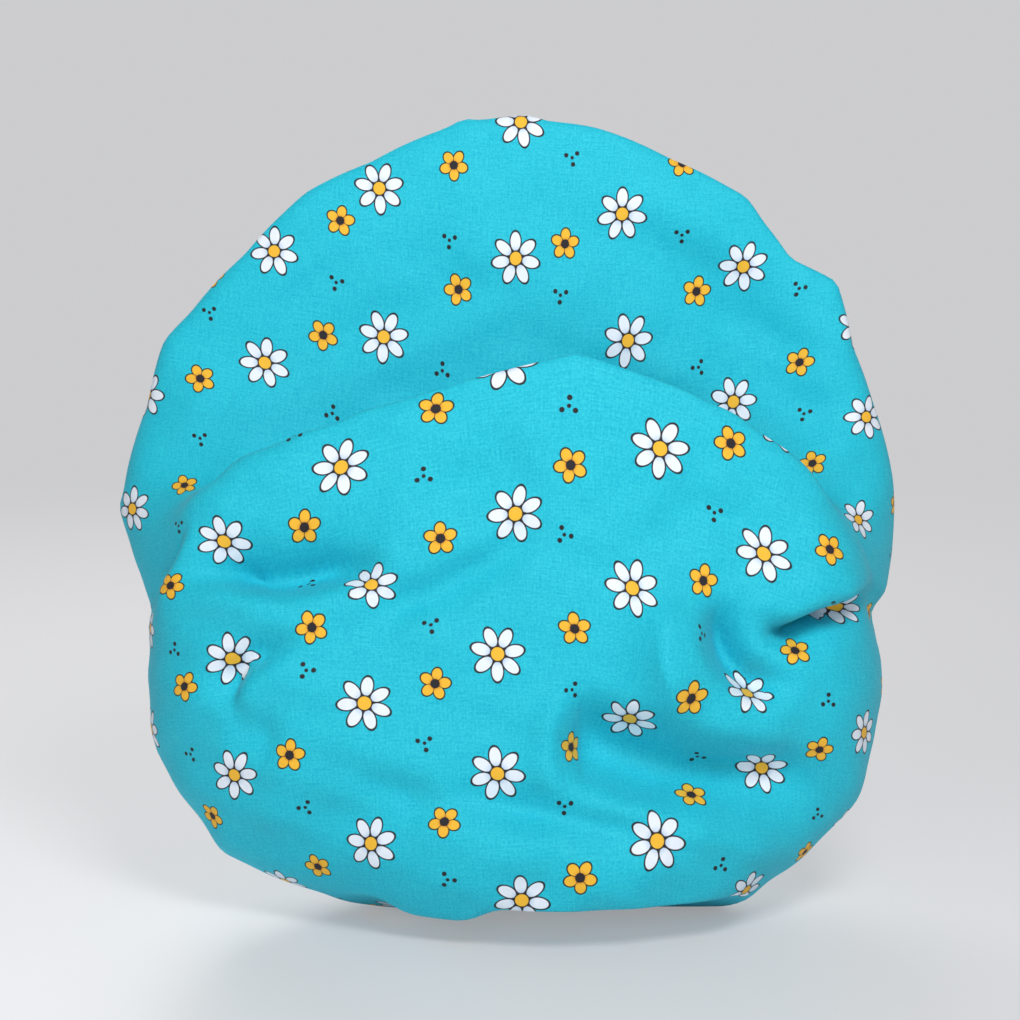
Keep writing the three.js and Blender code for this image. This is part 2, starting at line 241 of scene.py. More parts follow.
def bezier(a, b, c, d, t):
    t = t[:, None, None]
    return (1 - t) ** 3 * a + 3 * (1 - t) ** 2 * t * b + 3 * (1 - t) * t * t * c + t ** 3 * d


def outlineReach(angle):
    # distance of the outline from its centre, with its corners a little rounded
    points = np.array(capOutline) * mm - (0, capShape["outlineCentre"])
    samples = capShape["outlineSamples"]
    fine = np.arange(samples) * fullTurn / samples
    reach = np.interp(fine, np.arctan2(points[:, 1], points[:, 0]), np.hypot(*points.T), period=fullTurn)
    waves = np.fft.rfft(reach)
    waves = waves * np.exp(-0.5 * (capShape["outlineSoftness"] * np.arange(len(waves))) ** 2)
    return np.interp(angle, fine, np.fft.irfft(waves, samples), period=fullTurn)


backEdge = edgeRing["plane"] - capShape["openingBack"]
plyEdge = edgeRing["elastic"] + edgeRing["plyInset"]


def along(direction, size):
    return np.array(direction) * np.broadcast_to(size, np.shape(size))[..., None]


def ruffleAt(phi):
    return sum(share * np.cos(count * phi + start) for count, share, start in rimRuffles)


def frontCurves(phi):
    s = capShape
    side, rise = np.cos(phi), np.sin(phi)
    theta = phi - s["notchTurn"] * side
    reach = outlineReach(theta)
    depth = backEdge - s["edgeForward"] * smoothstep(-rise, *s["edgeForwardSpan"])
    edge = placeSeen(reach * np.cos(theta), s["outlineCentre"] + reach * np.sin(theta), depth)
    crown = placeSeen(*s["ridgeTop"], backEdge - s["ridgeForward"])
    right = placeSeen(*s["ridgeRight"], backEdge - s["ridgeEndForward"])
    left = placeSeen(*s["ridgeLeft"], backEdge - s["ridgeEndForward"])
    end = np.where((side > 0)[:, None], right, left) - crown
    slope = np.where(side > 0, right[2] - crown[2], left[2] - crown[2]) / np.abs(end[:, 0])
    up = np.maximum(0, rise)
    down = np.maximum(0, -rise)
    fold = crown + end * np.stack([np.abs(side), np.abs(side), side ** 2], -1)
    fold = fold + along((0, s["creaseBack"], 0), up) - along((0, s["pouchSwell"], 0), down)
    fold = fold - along((0, 0, s["creaseDrop"]), up ** s["dropRunOut"])
    fold = fold - along((0, 0, s["pouchBelly"]), down ** s["dropRunOut"])
    handle = np.stack([side / 2, -s["pouchFlare"] * down, np.abs(side) * slope - down], -1)
    handle = handle * s["pouchCurve"]
    handle = handle + along((0, s["creaseTurn"], 0), up)
    rollUp = s["rollSlope"] * np.abs(side) * slope * s["rollSide"]
    roll = np.stack([side * s["rollSide"], rise * s["rollDepth"], rollUp], -1)
    under = smoothstep(-rise, *s["underturnSpan"])
    turnBack = along((0, 1, 0), s["panelRoll"] + (s["underturn"] - s["panelRoll"]) * under)
    return crown, fold, handle, roll, turnBack, edge, theta


def openingRing(theta, radius):
    ring = np.stack([np.cos(theta), 0 * theta, np.sin(theta)], -1) * radius
    return ring + np.array([0, edgeRing["plane"], edgeRing["height"]])


def gridNormals(points):
    around = np.roll(points, -1, 1) - np.roll(points, 1, 1)
    outward = np.gradient(points, axis=0)
    normal = np.cross(outward, around)
    return normal / np.maximum(np.linalg.norm(normal, axis=-1, keepdims=True), 1e-12)


def drawnLine(corners):
    # the drawn corners as a finely divided, rounded line
    knots = np.linspace(0, 1, len(corners))
    fine = np.linspace(0, 1, foldDrawing["points"])
    line = np.stack([np.interp(fine, knots, column) for column in np.array(corners).T * mm], -1)
    for _ in range(foldDrawing["rounding"]):
        line[1:-1] = (line[:-2] + 2 * line[1:-1] + line[2:]) / 4
    return fine, line


def nearLine(across, up, corners):
    # signed distance to the line, share of the way along it, and the direction to its left
    fine, line = drawnLine(corners)
    nearest = np.full_like(across, 1e9)
    signed, share, leftX, leftY = (np.zeros_like(across) for _ in range(4))
    for k in range(len(line) - 1):
        step = line[k + 1] - line[k]
        dx, dy = across - line[k, 0], up - line[k, 1]
        t = np.clip((dx * step[0] + dy * step[1]) / (step @ step), 0, 1)
        gap = np.hypot(dx - t * step[0], dy - t * step[1])
        closer = gap < nearest
        length = np.hypot(*step)
        nearest = np.where(closer, gap, nearest)
        signed = np.where(closer, np.sign(step[0] * dy - step[1] * dx) * gap, signed)
        share = np.where(closer, fine[k] + t * (fine[1] - fine[0]), share)
        leftX = np.where(closer, -step[1] / length, leftX)
        leftY = np.where(closer, step[0] / length, leftY)
    return signed, share, leftX, leftY


def strokeShift(across, up, strokes):
    # how far the drawn folds move each point outwards, and how far sideways and up in the picture
    f = foldDrawing
    shift, sideways, upwards = (np.zeros_like(across) for _ in range(3))
    for stroke in strokes:
        gap, share, leftX, leftY = nearLine(across, up, stroke["line"])
        fade = smoothstep(share, 0, f["fade"]) * smoothstep(1 - share, 0, f["fade"])
        depth, roll = stroke["depth"] * mm, stroke["roll"] * mm
        wall, rise = stroke["wall"] * mm, stroke["rise"] * mm
        fall, climb = np.clip(gap / wall, 0, 1), np.clip(-gap / rise, 0, 1)
        if stroke.get("sharp"):
            fallen, climbed = (1 - fall) ** 3, np.sin(climb * math.pi / 2)
        else:
            fallen, climbed = 1 - smoothstep(fall, 0, 1), smoothstep(climb, 0, 1)
        beyond = roll * np.exp(-((gap + rise) / (f["rollWidth"] * rise)) ** 2)
        below = np.where(gap > -rise, (depth + roll) * climbed - depth, beyond)
        shift += fade * np.where(gap > 0, -depth * fallen, below)
        tip = stroke.get("lean", 0) * mm * fade * np.exp(-((gap + rise) / (f["leanWidth"] * rise)) ** 2)
        sideways += tip * leftX
        upwards += tip * leftY
    return np.stack([shift, sideways, upwards])


def smoothGrid(values, rounds):
    for _ in range(rounds):
        values = (np.roll(values, 1, -1) + 2 * values + np.roll(values, -1, -1)) / 4
        values[:, 1:-1] = (values[:, :-2] + 2 * values[:, 1:-1] + values[:, 2:]) / 4
    return values


def unevenCloth(across, up):
    # slight waviness of slack cloth
    u = clothUneven
    rng = np.random.default_rng(u["seed"])
    shift = np.zeros_like(across)
    for _ in range(u["waves"]):
        heading, start = rng.uniform(0, fullTurn, 2)
        wave = rng.uniform(u["shortest"], u["longest"])
        travel = (across * math.cos(heading) + up * math.sin(heading)) * fullTurn / wave
        shift += np.cos(travel + start) * u["height"] / math.sqrt(u["waves"])
    return shift


def gatherShift(phi, t):
    loose = phi
    for count, radians, start in gatherStray:
        loose = loose + radians * np.sin(count * phi + start)
    shift = np.zeros((len(t), len(phi)))
    for order, (count, crest, middle, spread) in enumerate(rearGathers):
        pinched = 2 * np.sqrt(np.cos(count * loose / 2 + order) ** 2 + gatherFillet)
        pinched -= pinched.mean()
        shift += crest * mm * np.exp(-((t - middle) / spread) ** 2)[:, None] * pinched
    full, closing = gatherEnds
    return shift * (smoothstep(t, 0, full) * (1 - smoothstep(t, closing, 1)))[:, None]


def settleOnTable(points):
    # the slack base lies on the table at the back, and its underside rises towards the front
    s = capShape
    across = points[..., 0] / mm
    sag = sum(np.exp(-((across - middle) / half) ** 4) for middle, half in baseSags)
    front = smoothstep(-points[..., 1], 0, s["baseRise"])
    floor = s["baseLift"] * front * (1 - s["baseSag"] * np.clip(sag, 0, 1))
    above = points[..., 2] - floor
    soft = s["baseSoftness"]
    points[..., 2] = floor + (above + np.sqrt(above ** 2 + soft ** 2)) / 2
    return points


def capSurface():
    # rings of points from the crown to the plies' cut edge
    s = capShape
    phi = np.arange(s["columns"]) * fullTurn / s["columns"]
    crown, fold, handle, roll, turnBack, edge, theta = frontCurves(phi)
    wallShare = np.linspace(0, 1, s["wallRings"] + 1)[1:] ** s["wallSpread"]
    panelShare = np.linspace(0, 1, s["panelRings"] + 1)[1:]
    rearShare = np.linspace(0, 1, s["rearRings"] + 1)[1:]
    wall = bezier(crown, crown + roll, fold - handle, fold, wallShare)
    panel = bezier(fold, fold + handle, edge - turnBack, edge, panelShare)
    mouth = openingRing(theta, edgeRing["grip"])
    approach = openingRing(theta, edgeRing["grip"] + s["rearApproach"])
    rear = bezier(edge, edge + (0, s["rearShoulder"], 0), approach, mouth, rearShare)
    base = np.concatenate([wall, panel, rear])
    normal = gridNormals(base)
    frontRings = s["wallRings"] + s["panelRings"]
    across, up = seenAt(base)
    rise = np.sin(phi)
    onPouch = np.tile(smoothstep(-rise, *s["pouchSpan"]), (len(base), 1))
    edgeFade = np.ones(len(base))
    edgeFade[s["wallRings"]:frontRings] = 1 - panelShare ** s["edgeFade"]
    edgeFade[frontRings:] = 0
    onPanel = 1 - onPouch
    onPanel[:s["wallRings"]] = 0
    onPanel[s["wallRings"]:frontRings] *= smoothstep(panelShare, *s["panelFoldSpan"])[:, None]
    moves = strokeShift(across, up, pouchFolds) * onPouch + strokeShift(across, up, panelFolds) * onPanel
    moves = smoothGrid(moves + strokeShift(across, up, lobeFolds), foldDrawing["smoothing"])
    shift, sideways, upwards = moves * edgeFade[:, None]
    offCrown = smoothstep(np.arange(len(base)), *s["smoothCrown"])
    shift += unevenCloth(across, up) * (edgeFade * offCrown)[:, None]
    shift[frontRings:] += gatherShift(phi, rearShare)
    points = base + normal * shift[..., None]
    points[..., 0] += sideways
    points[..., 2] += upwards
    nearRim = smoothstep(rearShare, s["ruffleFrom"], 1)
    points[frontRings:, :, 1] += np.outer(nearRim, ruffleAt(phi) * ruffleCrest)
    points = settleOnTable(points)
    grip = np.linspace(edgeRing["grip"], plyEdge, s["gripRings"] + 1)[1:]
    gripRings = [openingRing(theta, radius) for radius in grip]
    for ring in gripRings:
        ring[:, 1] += ruffleAt(phi) * ruffleCrest
    return crown, np.concatenate([points, gripRings]), frontRings


def smoothBetween(values, at):
    # a smooth curve through rows of values, read at fractional row numbers
    at = np.clip(at, 0, len(values) - 1)
    k = np.minimum(at.astype(int), len(values) - 2)
    t = (at - k)[:, None, None]
    padded = np.concatenate([2 * values[:1] - values[1:2], values, 2 * values[-1:] - values[-2:-1]])
    a, b, c, d = (padded[k + j] for j in range(4))
    return b + t / 2 * (c - a + t * (2 * a - 5 * b + 4 * c - d + t * (3 * (b - c) + d - a)))


def flattenCloth(crown, rings, frontRings):
    # lays the front out flat with the least stretch, then the rear outwards from its edge
    f = clothFlatten
    columns = rings.shape[1]
    coarse = rings[f["ringStep"] - 1:frontRings + 1:f["ringStep"], ::f["columnStep"]]
    sheet = discMesh("flatPattern", crown, coarse)
    bpy.context.view_layer.objects.active = sheet
    sheet.select_set(True)
    sheet.data.uv_layers.new(name="flat")
    bpy.ops.object.mode_set(mode="EDIT")
    bpy.ops.mesh.select_all(action="SELECT")
    bpy.ops.uv.unwrap(method="MINIMUM_STRETCH", fill_holes=False, correct_aspect=False,
                      iterations=f["rounds"])
    bpy.ops.object.mode_set(mode="OBJECT")
    places = np.empty((len(sheet.data.vertices), 2))
    layer = sheet.data.uv_layers["flat"].data
    for loop in sheet.data.loops:
        places[loop.vertex_index] = layer[loop.index].uv
    whole = sum(face.area for face in sheet.data.polygons)
    bpy.data.objects.remove(sheet)
    shape = np.concatenate([[crown], coarse.reshape(-1, 3)])[:, [0, 2]]
    places -= places[0]
    lean = np.linalg.lstsq(places, shape - shape.mean(0), rcond=None)[0]
    turn = math.atan2(lean[0, 1] - lean[1, 0], lean[0, 0] + lean[1, 1])
    places = places @ np.array([[math.cos(turn), math.sin(turn)], [-math.sin(turn), math.cos(turn)]])
    count, width = coarse.shape[:2]
    grid = np.concatenate([np.zeros((1, width, 2)), places[1:].reshape(count, width, 2)])
    rim = grid[-1]
    following = np.roll(rim, -1, 0)
    covered = abs(np.sum(rim[:, 0] * following[:, 1] - rim[:, 1] * following[:, 0])) / 2
    grid *= math.sqrt(whole / covered)
    fine = smoothBetween(grid, np.arange(frontRings + 1) / f["ringStep"])
    wrapped = np.concatenate([fine[:, -2:], fine, fine[:, :3]], 1).transpose(1, 0, 2)
    full = smoothBetween(wrapped, 2 + np.arange(columns) / f["columnStep"]).transpose(1, 0, 2)
    rear = rings[frontRings - 1:]
    length = np.cumsum(np.linalg.norm(np.diff(rear, axis=0), axis=-1), 0)
    outward = full[-1] / np.linalg.norm(full[-1], axis=-1, keepdims=True)
    return np.concatenate([full[1:], full[-1] + length[..., None] * outward])


def discFaces(count, columns):
    # four-sided faces of rings round a crown point, and the fan in the middle
    k = np.arange(columns)
    after = (k + 1) % columns
    ring = 1 + columns * np.arange(count - 1)[:, None]
    quads = np.stack([ring + k, ring + columns + k, ring + columns + after, ring + after], -1)
    return quads.reshape(-1, 4), np.stack([0 * k, 1 + k, 1 + after], -1)


def discMesh(name, crown, rings):
    quads, fan = discFaces(*rings.shape[:2])
    return newMesh(name, np.concatenate([[crown], rings.reshape(-1, 3)]), quads.tolist() + fan.tolist())


def newMesh(name, points, faces, smooth=True):
    mesh = bpy.data.meshes.new(name)
    mesh.from_pydata(points, [], faces)
    mesh.polygons.foreach_set("use_smooth", [smooth] * len(mesh.polygons))
    mesh.update()
    piece = bpy.data.objects.new(name, mesh)
    bpy.context.scene.collection.objects.link(piece)
    return piece


def addMap(piece, name, places):
    layer = piece.data.uv_layers.new(name=name)
    corner = np.empty(len(piece.data.loops), np.int32)
    piece.data.loops.foreach_get("vertex_index", corner)
    layer.data.foreach_set("uv", np.asarray(places, np.float32)[corner].ravel())


def clothPly(name, crown, rings, normal, flat, outerDepth, innerDepth):
    # one ply as a closed skin: the cap's face moved inwards by two depths
    count, columns = rings.shape[:2]
    crownNormal = normal[0].mean(0) / np.linalg.norm(normal[0].mean(0))
    face = np.concatenate([[crown], rings.reshape(-1, 3)])
    lean = np.concatenate([[crownNormal], normal.reshape(-1, 3)])
    places = np.concatenate([[np.zeros(2)], flat.reshape(-1, 2)])
    quads, fan = discFaces(count, columns)
    k = np.arange(columns)
    after = (k + 1) % columns
    rim = 1 + columns * (count - 1)
    total = len(face)
    close = np.stack([rim + k, total + rim + k, total + rim + after, rim + after], -1)
    faces = quads.tolist() + fan.tolist() + close.tolist()
    faces += (quads[:, ::-1] + total).tolist() + (fan[:, ::-1] + total).tolist()
    piece = newMesh(name, np.concatenate([face - lean * outerDepth, face - lean * innerDepth]), faces)
    addMap(piece, "clothPattern", np.concatenate([places, places]))
    return piece


def addNode(tree, kind, **settings):
    node = tree.nodes.new(kind)
    for key, value in settings.items():
        setattr(node, key, value)
    return node


def feed(tree, socket, value):
    if isinstance(value, bpy.types.NodeSocket):
        tree.links.new(value, socket)
    else:
        socket.default_value = value


def calc(tree, operation, *values, clamp=False):
    node = addNode(tree, "ShaderNodeMath", operation=operation, use_clamp=clamp)
    for socket, value in zip(node.inputs, values):
        feed(tree, socket, value)
    return node.outputs[0]


def distance(tree, x, y):
    squares = calc(tree, "ADD", calc(tree, "MULTIPLY", x, x), calc(tree, "MULTIPLY", y, y))
    return calc(tree, "SQRT", squares)


def soften(tree, value, low, high):
    node = addNode(tree, "ShaderNodeMapRange", interpolation_type="SMOOTHSTEP")
    for socket, number in zip(node.inputs, (value, low, high, 0.0, 1.0)):
        feed(tree, socket, number)
    return node.outputs[0]


def tint(tree, share, below, above, blend="MIX"):
    node = addNode(tree, "ShaderNodeMix", data_type="RGBA", blend_type=blend)
    feed(tree, node.inputs[0], share)
    feed(tree, node.inputs[6], below)
    feed(tree, node.inputs[7], above)
    return node.outputs[2]


def rgb(red, green, blue):
    # a colour as a screen shows it, 0 to 255
    linear = [c / 3294.6 if c < 10.3 else ((c / 255 + 0.055) / 1.055) ** 2.4 for c in (red, green, blue)]
    return (*linear, 1.0)


def newGroup(name, inputs, outputs):
    tree = bpy.data.node_groups.new(name, "ShaderNodeTree")
    for label, kind, value in inputs:
        socket = tree.interface.new_socket(label, in_out="INPUT", socket_type=kind)
        if value is not None:
            socket.default_value = value
    for label, kind in outputs:
        tree.interface.new_socket(label, in_out="OUTPUT", socket_type=kind)
    return tree, tree.nodes.new("NodeGroupInput").outputs, tree.nodes.new("NodeGroupOutput").inputs


def placeGroup(tree, group, **values):
    node = addNode(tree, "ShaderNodeGroup", node_tree=group)
    for label, value in values.items():
        feed(tree, node.inputs[label], value)
    return node.outputs


def makeWeaveGroup():
    # plain weave with slubby yarns; lengths in metres
    number = "NodeSocketFloat"
    inputs = [("Place", "NodeSocketVector", None), ("Pitch", number, 0.0005), ("Slub", number, 1.0)]
    tree, have, give = newGroup("clothWeave", inputs, [("Height", number), ("Tone", number)])
    scaled = addNode(tree, "ShaderNodeVectorMath", operation="DIVIDE")
    feed(tree, scaled.inputs[0], have["Place"])
    feed(tree, scaled.inputs[1], have["Pitch"])
    split = addNode(tree, "ShaderNodeSeparateXYZ")
    feed(tree, split.inputs[0], scaled.outputs[0])
    warp, weft = split.outputs[0], split.outputs[1]
    cells = calc(tree, "ADD", calc(tree, "FLOOR", warp), calc(tree, "FLOOR", weft))
    over = calc(tree, "FLOORED_MODULO", cells, 2.0)
    crests = []
    for yarn in (warp, weft):
        wave = calc(tree, "SINE", calc(tree, "MULTIPLY", yarn, math.pi))
        crests.append(calc(tree, "ABSOLUTE", wave))
    lifted = calc(tree, "MULTIPLY", crests[0], over)
    lower = calc(tree, "MULTIPLY", crests[1], calc(tree, "SUBTRACT", 1.0, over))
    feed(tree, give["Height"], calc(tree, "ADD", lifted, lower))
    yarns = []
    for stretch in ((0.05, 0.9, 1.0), (0.9, 0.05, 1.0)):  # long thin clouds along each yarn direction
        squeeze = addNode(tree, "ShaderNodeVectorMath", operation="MULTIPLY")
        feed(tree, squeeze.inputs[0], scaled.outputs[0])
        squeeze.inputs[1].default_value = stretch
        noise = addNode(tree, "ShaderNodeTexNoise", noise_dimensions="2D")
        noise.inputs["Scale"].default_value = 1.0
        noise.inputs["Detail"].default_value = 2.0
        feed(tree, noise.inputs["Vector"], squeeze.outputs[0])
        yarns.append(noise.outputs[0])
    uneven = calc(tree, "SUBTRACT", calc(tree, "ADD", *yarns), 1.0)
    feed(tree, give["Tone"], calc(tree, "MULTIPLY", uneven, have["Slub"]))
    return tree


inkBlur = 0.12 * mm  # softness of a printed edge


def makeMotifGroup():
    # a flower in each cell of a half-drop repeat; lengths in metres
    number, vector = "NodeSocketFloat", "NodeSocketVector"
    inputs = [("Place", vector, None), ("Shift", vector, None), ("Spacing", number, 0.05),
              ("Seed", number, 1.0), ("Loose", number, 0.2), ("Petals", number, 7.0),
              ("Reach", number, 0.006), ("Half Length", number, 0.004), ("Half Width", number, 0.0025),
              ("Heart", number, 0.003), ("Ink", number, 0.0003)]
    outputs = [("Petal", number), ("Heart", number), ("Line", number), ("Depth", number)]
    tree, have, give = newGroup("scatteredFlower", inputs, outputs)
    scaled = addNode(tree, "ShaderNodeVectorMath", operation="DIVIDE")
    feed(tree, scaled.inputs[0], have["Place"])
    feed(tree, scaled.inputs[1], have["Spacing"])
    moved = addNode(tree, "ShaderNodeVectorMath", operation="ADD")
    feed(tree, moved.inputs[0], scaled.outputs[0])
    feed(tree, moved.inputs[1], have["Shift"])
    split = addNode(tree, "ShaderNodeSeparateXYZ")
    feed(tree, split.inputs[0], moved.outputs[0])
    column = calc(tree, "FLOOR", split.outputs[0])
    dropped = calc(tree, "MULTIPLY_ADD", calc(tree, "FLOORED_MODULO", column, 2.0), 0.5, split.outputs[1])
    row = calc(tree, "FLOOR", dropped)
    cell = addNode(tree, "ShaderNodeCombineXYZ")
    for socket, value in zip(cell.inputs, (column, row, have["Seed"])):
        feed(tree, socket, value)
    chance = addNode(tree, "ShaderNodeTexWhiteNoise", noise_dimensions="3D")
    feed(tree, chance.inputs["Vector"], cell.outputs[0])
    draws = addNode(tree, "ShaderNodeSeparateColor")
    feed(tree, draws.inputs[0], chance.outputs["Color"])
    local = []
    sides = ((column, split.outputs[0], draws.outputs[0]), (row, dropped, draws.outputs[1]))
    for whole, place, draw in sides:
        middle = calc(tree, "SUBTRACT", calc(tree, "SUBTRACT", place, whole), 0.5)
        stray = calc(tree, "MULTIPLY", calc(tree, "SUBTRACT", draw, 0.5), have["Loose"])
        local.append(calc(tree, "MULTIPLY", calc(tree, "SUBTRACT", middle, stray), have["Spacing"]))
    radius = distance(tree, *local)
    heading = calc(tree, "ARCTAN2", local[1], local[0])
    turn = calc(tree, "MULTIPLY_ADD", chance.outputs["Value"], fullTurn, heading)
    sector = calc(tree, "DIVIDE", fullTurn, have["Petals"])
    inside = calc(tree, "FLOORED_MODULO", turn, sector)
    lean = calc(tree, "SUBTRACT", inside, calc(tree, "DIVIDE", sector, 2.0))
    ahead = calc(tree, "MULTIPLY", radius, calc(tree, "COSINE", lean))
    outward = calc(tree, "SUBTRACT", ahead, have["Reach"])
    sideways = calc(tree, "MULTIPLY", radius, calc(tree, "SINE", lean))
    lengthShare = calc(tree, "DIVIDE", outward, have["Half Length"])
    widthShare = calc(tree, "DIVIDE", sideways, have["Half Width"])
    oval = distance(tree, lengthShare, widthShare)
    petalGap = calc(tree, "MULTIPLY", calc(tree, "SUBTRACT", oval, 1.0), have["Half Width"])
    heartGap = calc(tree, "SUBTRACT", radius, have["Heart"])
    petal = soften(tree, petalGap, inkBlur, -inkBlur)
    heart = soften(tree, heartGap, inkBlur, -inkBlur)
    lines = []
    for gap in (petalGap, heartGap):
        band = calc(tree, "SUBTRACT", calc(tree, "ABSOLUTE", gap), have["Ink"])
        lines.append(soften(tree, band, inkBlur, -inkBlur))
    outer = calc(tree, "MULTIPLY", lines[0], calc(tree, "SUBTRACT", 1.0, heart))
    feed(tree, give["Petal"], petal)
    feed(tree, give["Heart"], heart)
    feed(tree, give["Line"], calc(tree, "MAXIMUM", outer, lines[1]))
    feed(tree, give["Depth"], lengthShare)
    return tree


weaveGroup = makeWeaveGroup()
motifGroup = makeMotifGroup()


def newMaterial(name):
    material = bpy.data.materials.new(name)
    material.use_nodes = True
    tree = material.node_tree
    return material, tree, tree.nodes["Principled BSDF"]


def mapPlace(tree, name="clothPattern"):
    return addNode(tree, "ShaderNodeUVMap", uv_map=name).outputs[0]


def addBump(tree, shader, height, distance, strength=1.0):
    bump = addNode(tree, "ShaderNodeBump")
    bump.inputs["Strength"].default_value = strength
    bump.inputs["Distance"].default_value = distance
    feed(tree, bump.inputs["Height"], height)
    feed(tree, shader.inputs["Normal"], bump.outputs[0])


cottonLook = {
    "dye": rgb(38, 201, 219),
    "dyeDeep": rgb(4, 176, 204),
    "petal": rgb(232, 240, 250),
    "petalShade": rgb(188, 208, 232),
    "amber": rgb(243, 186, 52),
    "amberShade": rgb(214, 132, 26),
    "ink": rgb(30, 26, 32),
    "pitch": 0.45 * mm,
    "slub": 0.9,
    # yarnShade is painted shade: a factor on the colour that darkens the weave's hollows
    "yarnShade": (0.16, 0.9),
    "roughness": (-0.12, 0.74),
    "specular": 0.32,
    "sheen": 0.06,
    "sheenRoughness": 0.5,
    "bump": (0.06 * mm, 0.6),  # height, strength
    "petalFade": (-0.2, -1.1),
    "spacing": 50 * mm,
    "daisy": {"Petals": 7.0, "Reach": 6.3 * mm, "Half Length": 3.9 * mm, "Half Width": 2.35 * mm,
              "Heart": 2.7 * mm, "Shift": (0.0, 0.0, 0.0), "Seed": 3.0, "Loose": 0.22, "Ink": 0.26 * mm},
    "blossom": {"Petals": 5.0, "Reach": 3.5 * mm, "Half Length": 2.5 * mm, "Half Width": 2.05 * mm,
                "Heart": 1.5 * mm, "Shift": (0.5, 0.25, 0.0), "Seed": 7.0, "Loose": 0.22, "Ink": 0.24 * mm},
    "sprig": {"Petals": 3.0, "Reach": 2.6 * mm, "Half Length": 0.8 * mm, "Half Width": 0.8 * mm,
              "Heart": 0.6 * mm, "Shift": (0.5, 0.75, 0.0), "Seed": 12.0, "Loose": 0.2, "Ink": 0.1 * mm},
}


clothGrain = {"scale": 1100.0, "detail": 2.0, "contrast": 1.5}


def clothTone(tree, place, pitch, slub):
    g = clothGrain
    weave = placeGroup(tree, weaveGroup, Place=place, Pitch=pitch, Slub=slub)
    cloud = addNode(tree, "ShaderNodeTexNoise", noise_dimensions="2D")
    cloud.inputs["Scale"].default_value = g["scale"]
    cloud.inputs["Detail"].default_value = g["detail"]
    feed(tree, cloud.inputs["Vector"], place)
    centred = calc(tree, "SUBTRACT", cloud.outputs[0], 0.5)
    grain = calc(tree, "MULTIPLY_ADD", centred, g["contrast"], 0.5)
    return weave, calc(tree, "ADD", grain, weave["Tone"], clamp=True)


def makeCotton():
    c = cottonLook
    material, tree, shader = newMaterial("printedCotton")
    place = mapPlace(tree)
    weave, tone = clothTone(tree, place, c["pitch"], c["slub"])
    colour = tint(tree, tone, c["dyeDeep"], c["dye"])
    for name in ("sprig", "blossom", "daisy"):
        motif = placeGroup(tree, motifGroup, Place=place, Spacing=c["spacing"], **c[name])
        shade = soften(tree, motif["Depth"], *c["petalFade"])
        if name == "daisy":
            fill = tint(tree, shade, c["petal"], c["petalShade"])
            heart = c["amber"]
        elif name == "blossom":
            fill = tint(tree, shade, c["amber"], c["amberShade"])
            heart = c["ink"]
        else:
            fill = c["ink"]
            heart = c["ink"]
        colour = tint(tree, motif["Petal"], colour, fill)
        colour = tint(tree, motif["Heart"], colour, heart)
        colour = tint(tree, motif["Line"], colour, c["ink"])
    # painted shade: the colour is darkened where the weave is low, in the hollows between yarn crests
    yarn = calc(tree, "MULTIPLY_ADD", weave["Height"], *c["yarnShade"])
    shaded = tint(tree, 1.0, colour, yarn, "MULTIPLY")
    feed(tree, shader.inputs["Base Color"], shaded)
    feed(tree, shader.inputs["Roughness"], calc(tree, "MULTIPLY_ADD", tone, *c["roughness"]))
    shader.inputs["Specular IOR Level"].default_value = c["specular"]
    shader.inputs["Sheen Weight"].default_value = c["sheen"]
    shader.inputs["Sheen Roughness"].default_value = c["sheenRoughness"]
    addBump(tree, shader, weave["Height"], *c["bump"])
    return material


liningLook = {
    "coating": rgb(240, 243, 242), "coatingShade": rgb(222, 228, 229), "pitch": 0.7 * mm, "slub": 0.5,
    "roughness": (0.16, 0.32), "specular": 0.45, "bump": (0.04 * mm, 0.4),
}


def makeLiningCloth():
    k = liningLook
    material, tree, shader = newMaterial("coatedLining")
    place = mapPlace(tree)
    weave, tone = clothTone(tree, place, k["pitch"], k["slub"])
    feed(tree, shader.inputs["Base Color"], tint(tree, tone, k["coatingShade"], k["coating"]))
    feed(tree, shader.inputs["Roughness"], calc(tree, "MULTIPLY_ADD", tone, *k["roughness"]))
    shader.inputs["Specular IOR Level"].default_value = k["specular"]
    addBump(tree, shader, weave["Height"], *k["bump"])
    return material


clothPlies = {
    "shell": 0.45 * mm,
    "gap": 0.3 * mm,
    "lining": 0.35 * mm,
    "smoothing": 8,  # rounds, so that the inner ply doesn't cross over under a sharp fold
    "flatDisc": 0.58,  # metres across, as cut
    "rimHold": 8 * mm,  # depth next to the edge that moves wholly with the rim
}
stack = clothPlies["shell"] + clothPlies["gap"] + clothPlies["lining"]
crown, rings, frontRings = capSurface()
# the ring surface is the outer face; in the edge ring it lies half a stack behind the plane
normal = smoothGrid(gridNormals(rings).transpose(2, 0, 1), clothPlies["smoothing"]).transpose(1, 2, 0)
normal /= np.linalg.norm(normal, axis=-1, keepdims=True)
gripFrom = frontRings + capShape["rearRings"] - 1
normal[gripFrom:] = (0, 1, 0)
rings[gripFrom:, :, 1] += stack / 2
flat = flattenCloth(crown, rings, frontRings)
print("cap surface", rings.shape, "flat", flat.min((0, 1)), flat.max((0, 1)))
shell = clothPly("printedShell", crown, rings, normal, flat, 0, clothPlies["shell"])
shell.data.materials.append(makeCotton())
lining = clothPly("coatedLining", crown, rings, normal, flat, stack - clothPlies["lining"], stack)
lining.data.materials.append(makeLiningCloth())
print("plies made")

plies = ((shell, "outer_shell", "printed_cotton"), (lining, "waterproof_lining", "coated_lining"))
for ply, node, slot in plies:
    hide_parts(node)
    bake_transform(ply)


